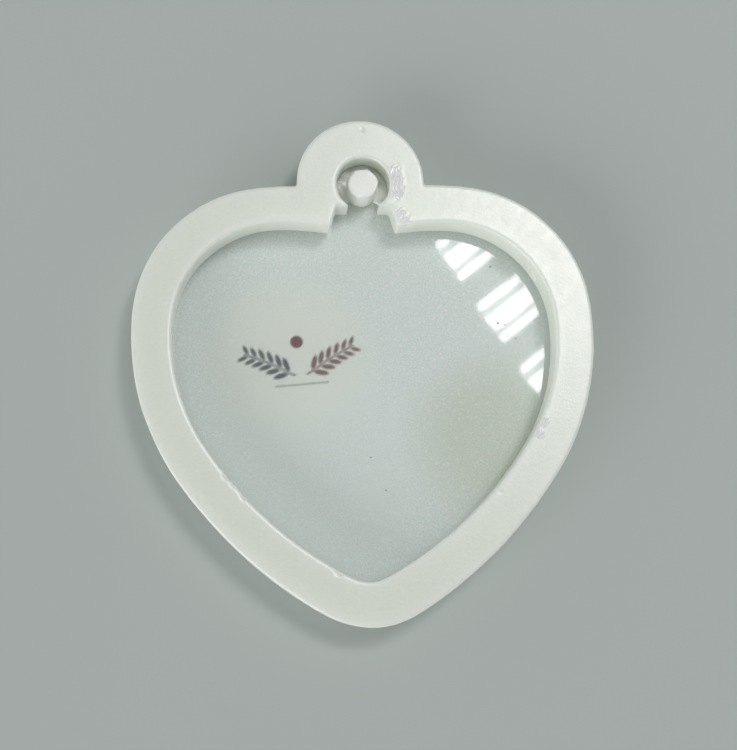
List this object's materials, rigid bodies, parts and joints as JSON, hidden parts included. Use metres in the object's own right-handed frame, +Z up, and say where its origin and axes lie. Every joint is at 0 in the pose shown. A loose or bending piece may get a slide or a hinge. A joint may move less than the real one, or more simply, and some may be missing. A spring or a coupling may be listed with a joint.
{
  "type": "resin casting mould",
  "caption": "Open-pour silicone mould for a flat heart bauble: rim wall with a round tab, glossy cavity floor, neck, ring recess round an eyelet core, buried label and backing.",
  "frame": {"origin": "middle of the underside, where the mould rests on a table", "axes": "+Z up out of the open cavity, +Y from the heart's tip towards the eyelet, +X to the right seen from above"},
  "size_m": [0.0814, 0.09, 0.009],
  "materials": {
    "rim_silicone": "matte translucent white",
    "floor_silicone": "glossy, slightly see-through",
    "backing_silicone": "satin translucent white",
    "label": "matte printed film"
  },
  "bodies": {
    "root": {"rim_wall": "rim_silicone", "eyelet_core": "rim_silicone", "cavity_floor": "floor_silicone", "backing_layer": "backing_silicone", "label_film": "label"}
  },
  "joints": []
}
